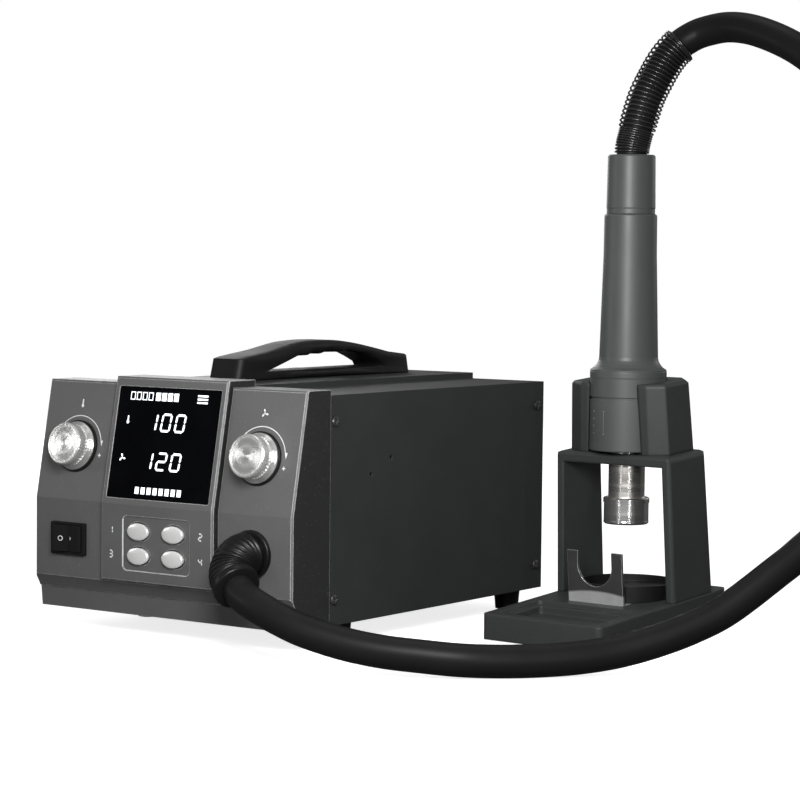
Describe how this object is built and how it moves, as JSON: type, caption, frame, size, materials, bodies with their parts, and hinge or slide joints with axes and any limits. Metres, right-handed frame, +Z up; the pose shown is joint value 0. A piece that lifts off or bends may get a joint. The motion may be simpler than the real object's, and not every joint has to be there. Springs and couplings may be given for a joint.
{
  "type": "hot air rework station",
  "caption": "Hot air rework station: grey-fronted case with display, knobs and buttons, air hose, and heater handset resting in its own stand",
  "frame": {"origin": "middle of the station and the stand's footprint, on the floor (the loose hose isn't counted)", "axes": "+X right as seen from the front, +Y back, +Z up; the station's front faces -Y"},
  "size_m": [0.4673, 0.3018, 0.3583],
  "materials": {
    "bezel_grey": "satin, fine texture",
    "case_paint": "fine powder coat",
    "black_plastic": "satin",
    "display_black": "glossy",
    "led_board": "matte",
    "circuit_board": "solder mask",
    "button_silver": "satin",
    "knob_aluminium": "spun",
    "zinc_steel": "zinc plated",
    "rubber_black": "matte",
    "hose_rubber": "satin",
    "spring_black": "black oxide",
    "handset_grey": "satin",
    "tube_steel": "brushed",
    "nozzle_steel": "polished",
    "stand_paint": "fine powder coat",
    "ceramic_white": "unglazed",
    "heater_wire": "oxidised",
    "brass": "plain",
    "transformer_steel": "varnished"
  },
  "bodies": {
    "station": {"front_bezel": "bezel_grey", "center_fascia": "bezel_grey", "display_window": "display_black", "display_module": "led_board", "display_board": "circuit_board", "button_board": "circuit_board", "knob_rings": "black_plastic", "knob_encoders": "zinc_steel", "encoder_nuts": "zinc_steel", "switch_body": "black_plastic", "hose_gland": "rubber_black", "gland_nut": "black_plastic", "top_cover": "case_paint", "cover_screws": "zinc_steel", "bottom_chassis": "zinc_steel", "rear_panel": "case_paint", "mains_inlet": "black_plastic", "inlet_pins": "brass", "inlet_screws": "zinc_steel", "rubber_feet": "rubber_black", "foot_screws": "zinc_steel", "carry_handle": "black_plastic", "handle_screws": "zinc_steel", "main_board": "circuit_board", "board_standoffs": "brass", "power_transformer": "transformer_steel", "heat_sink": "knob_aluminium", "capacitors": "black_plastic", "blower_housing": "black_plastic", "blower_lid": "black_plastic", "blower_motor": "zinc_steel", "blower_bracket": "zinc_steel", "air_duct": "rubber_black", "air_hose": "hose_rubber", "stand_base": "stand_paint", "stand_arch": "stand_paint", "stand_cradle": "stand_paint", "nozzle_cup": "black_plastic", "nozzle_bracket": "tube_steel", "bracket_screws": "zinc_steel", "stand_screws": "zinc_steel", "stand_pads": "rubber_black"},
    "handset": {"handset_sleeve": "handset_grey", "handset_grip": "handset_grey", "barrel_upper": "handset_grey", "barrel_lower": "handset_grey", "nozzle_tube": "tube_steel", "heater_former": "ceramic_white", "heater_coil": "heater_wire", "handset_board": "circuit_board", "spring_guard": "spring_black"},
    "temp_knob": {"temp_knob": "knob_aluminium"},
    "air_knob": {"air_knob": "knob_aluminium"},
    "power_rocker": {"power_rocker": "black_plastic"},
    "channel_button_1": {"channel_button_1": "button_silver"},
    "channel_button_2": {"channel_button_2": "button_silver"},
    "channel_button_3": {"channel_button_3": "button_silver"},
    "channel_button_4": {"channel_button_4": "button_silver"},
    "blower_impeller": {"blower_impeller": "bezel_grey"},
    "nozzle_cap": {"nozzle": "nozzle_steel"}
  },
  "joints": [
    {"name": "temp_knob_turn", "type": "hinge", "parent": "station", "child": "temp_knob", "pos_m": [-0.13473, -0.10344, 0.10595], "axis": [0, -0.9822, 0.1878], "continuous": true},
    {"name": "air_knob_turn", "type": "hinge", "parent": "station", "child": "air_knob", "pos_m": [-0.00153, -0.10344, 0.10595], "axis": [0, -0.9822, 0.1878], "continuous": true},
    {"name": "power_rocker_tip", "type": "hinge", "parent": "station", "child": "power_rocker", "pos_m": [-0.13513, -0.10976, 0.0532], "axis": [0, 0, 1], "range_deg": [-14, 0]},
    {"name": "channel_button_1_press", "type": "slide", "parent": "station", "child": "channel_button_1", "axis": [0, 1, 0], "range_m": [0, 0.0012], "stiffness_N_per_m": 300},
    {"name": "channel_button_2_press", "type": "slide", "parent": "station", "child": "channel_button_2", "axis": [0, 1, 0], "range_m": [0, 0.0012], "stiffness_N_per_m": 300},
    {"name": "channel_button_3_press", "type": "slide", "parent": "station", "child": "channel_button_3", "axis": [0, 1, 0], "range_m": [0, 0.0012], "stiffness_N_per_m": 300},
    {"name": "channel_button_4_press", "type": "slide", "parent": "station", "child": "channel_button_4", "axis": [0, 1, 0], "range_m": [0, 0.0012], "stiffness_N_per_m": 300},
    {"name": "handset_lift", "type": "slide", "parent": "station", "child": "handset", "axis": [0, 0, 1], "range_m": [0, 0.1], "deforming": ["air_hose"]},
    {"name": "nozzle_pull", "type": "slide", "parent": "handset", "child": "nozzle_cap", "axis": [0, 0, -1], "range_m": [0, 0.018]},
    {"name": "blower_spin", "type": "hinge", "parent": "station", "child": "blower_impeller", "pos_m": [0.01747, 0.02074, 0.084], "axis": [1, 0, 0], "continuous": true}
  ]
}
